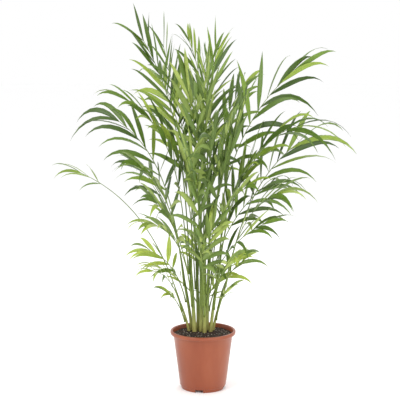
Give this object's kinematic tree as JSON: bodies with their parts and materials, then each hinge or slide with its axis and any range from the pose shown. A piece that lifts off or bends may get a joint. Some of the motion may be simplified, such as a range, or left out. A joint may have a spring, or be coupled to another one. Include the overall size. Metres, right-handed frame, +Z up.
{
  "type": "potted cat palm",
  "caption": "Clumping feather palm with slender green canes and arching fronds in a round terracotta-coloured nursery pot.",
  "frame": {"origin": "middle of the pot's flat underside", "axes": "+Z up along the pot's axis, -Y towards the viewer of the picture, +X to the viewer's right"},
  "size_m": [0.9738, 0.8848, 1.2399],
  "materials": {
    "pot_plastic": "injection-moulded polypropylene, terracotta colour, soft sheen",
    "peat_soil": "moist peat potting soil with bark and pale grit",
    "green_cane": "smooth green sheathed cane, yellower at the foot",
    "grown_leaf": "mid green leaflets with a soft waxy sheen and fine lengthwise veins",
    "fresh_leaf": "light yellow-green young leaflets with a soft waxy sheen"
  },
  "bodies": {
    "root": {"cane_back": "green_cane", "cane_east": "green_cane", "cane_east_low": "green_cane", "cane_front": "green_cane", "cane_mid_east": "green_cane", "cane_mid_west": "green_cane", "cane_middle": "green_cane", "cane_west": "green_cane", "cane_west_front": "green_cane", "cane_west_low": "green_cane", "frond_back_centre": "grown_leaf", "frond_back_crest": "grown_leaf", "frond_back_hem": "fresh_leaf", "frond_back_left": "grown_leaf", "frond_back_left_high": "grown_leaf", "frond_back_left_low": "fresh_leaf", "frond_back_low": "fresh_leaf", "frond_back_right": "grown_leaf", "frond_back_right_high": "grown_leaf", "frond_back_right_low": "fresh_leaf", "frond_crown_back_left": "grown_leaf", "frond_crown_ladder": "grown_leaf", "frond_crown_leaf": "fresh_leaf", "frond_crown_right": "grown_leaf", "frond_front_centre": "grown_leaf", "frond_front_crest": "grown_leaf", "frond_front_high": "grown_leaf", "frond_front_left": "grown_leaf", "frond_front_left_mid": "grown_leaf", "frond_front_low": "fresh_leaf", "frond_front_right": "grown_leaf", "frond_front_right_mid": "grown_leaf", "frond_heart_east": "grown_leaf", "frond_heart_front": "grown_leaf", "frond_heart_left": "grown_leaf", "frond_heart_low": "fresh_leaf", "frond_heart_right": "grown_leaf", "frond_inner_left": "grown_leaf", "frond_left_bow": "fresh_leaf", "frond_left_crest": "grown_leaf", "frond_left_drape": "grown_leaf", "frond_left_hem": "fresh_leaf", "frond_left_inner": "grown_leaf", "frond_left_low": "fresh_leaf", "frond_left_outrigger": "grown_leaf", "frond_left_reach": "grown_leaf", "frond_left_shoulder": "grown_leaf", "frond_left_skirt": "fresh_leaf", "frond_right_bow": "grown_leaf", "frond_right_crest": "grown_leaf", "frond_right_drape": "grown_leaf", "frond_right_hem": "fresh_leaf", "frond_right_inner": "grown_leaf", "frond_right_low": "fresh_leaf", "frond_right_reach": "grown_leaf", "frond_right_shoulder": "grown_leaf", "frond_right_skirt": "fresh_leaf", "frond_right_sweep": "grown_leaf", "pot": "pot_plastic", "potting_soil": "peat_soil"}
  },
  "joints": []
}
